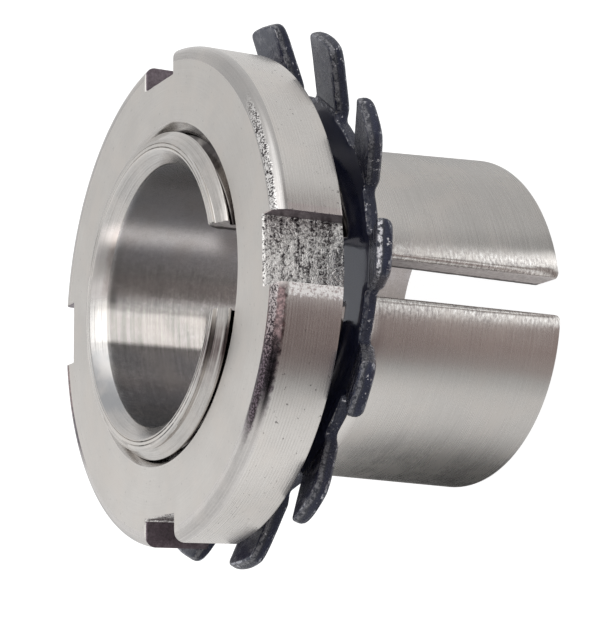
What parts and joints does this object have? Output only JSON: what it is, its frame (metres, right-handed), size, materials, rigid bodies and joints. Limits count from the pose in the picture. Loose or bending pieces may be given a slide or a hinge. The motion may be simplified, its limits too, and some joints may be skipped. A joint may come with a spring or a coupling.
{
  "type": "bearing adapter sleeve",
  "caption": "Split tapered sleeve with a threaded neck, a slotted round lock nut and a tabbed lock washer, for clamping a taper bore bearing on a plain shaft.",
  "frame": {"origin": "centre of the sleeve's big end face, on the bore axis", "axes": "+Z along the bore axis towards the threaded end; the slit points along -Y"},
  "size_m": [0.0428, 0.0426, 0.029],
  "materials": {
    "sleeve_steel": "turned, satin",
    "nut_steel": "turned and milled, satin",
    "black_oxide": "glossy blue-black oxide"
  },
  "bodies": {
    "sleeve_body": {"sleeve": "sleeve_steel"},
    "washer_body": {"lock_washer": "black_oxide"},
    "nut_body": {"lock_nut": "nut_steel"}
  },
  "joints": [
    {"name": "washer_slide", "type": "slide", "parent": "sleeve_body", "child": "washer_body", "axis": [0, 0, 1], "range_m": [-0.00051, 0.00601]},
    {"name": "nut_turn", "type": "hinge", "parent": "washer_body", "child": "nut_body", "pos_m": [0, 0, 0.02445], "axis": [0, 0, 1], "range_deg": [-120, 1440]}
  ],
  "couplings": [
    {"joint": "washer_slide", "follows": "nut_turn", "m_per_rad": 0.00023873}
  ]
}
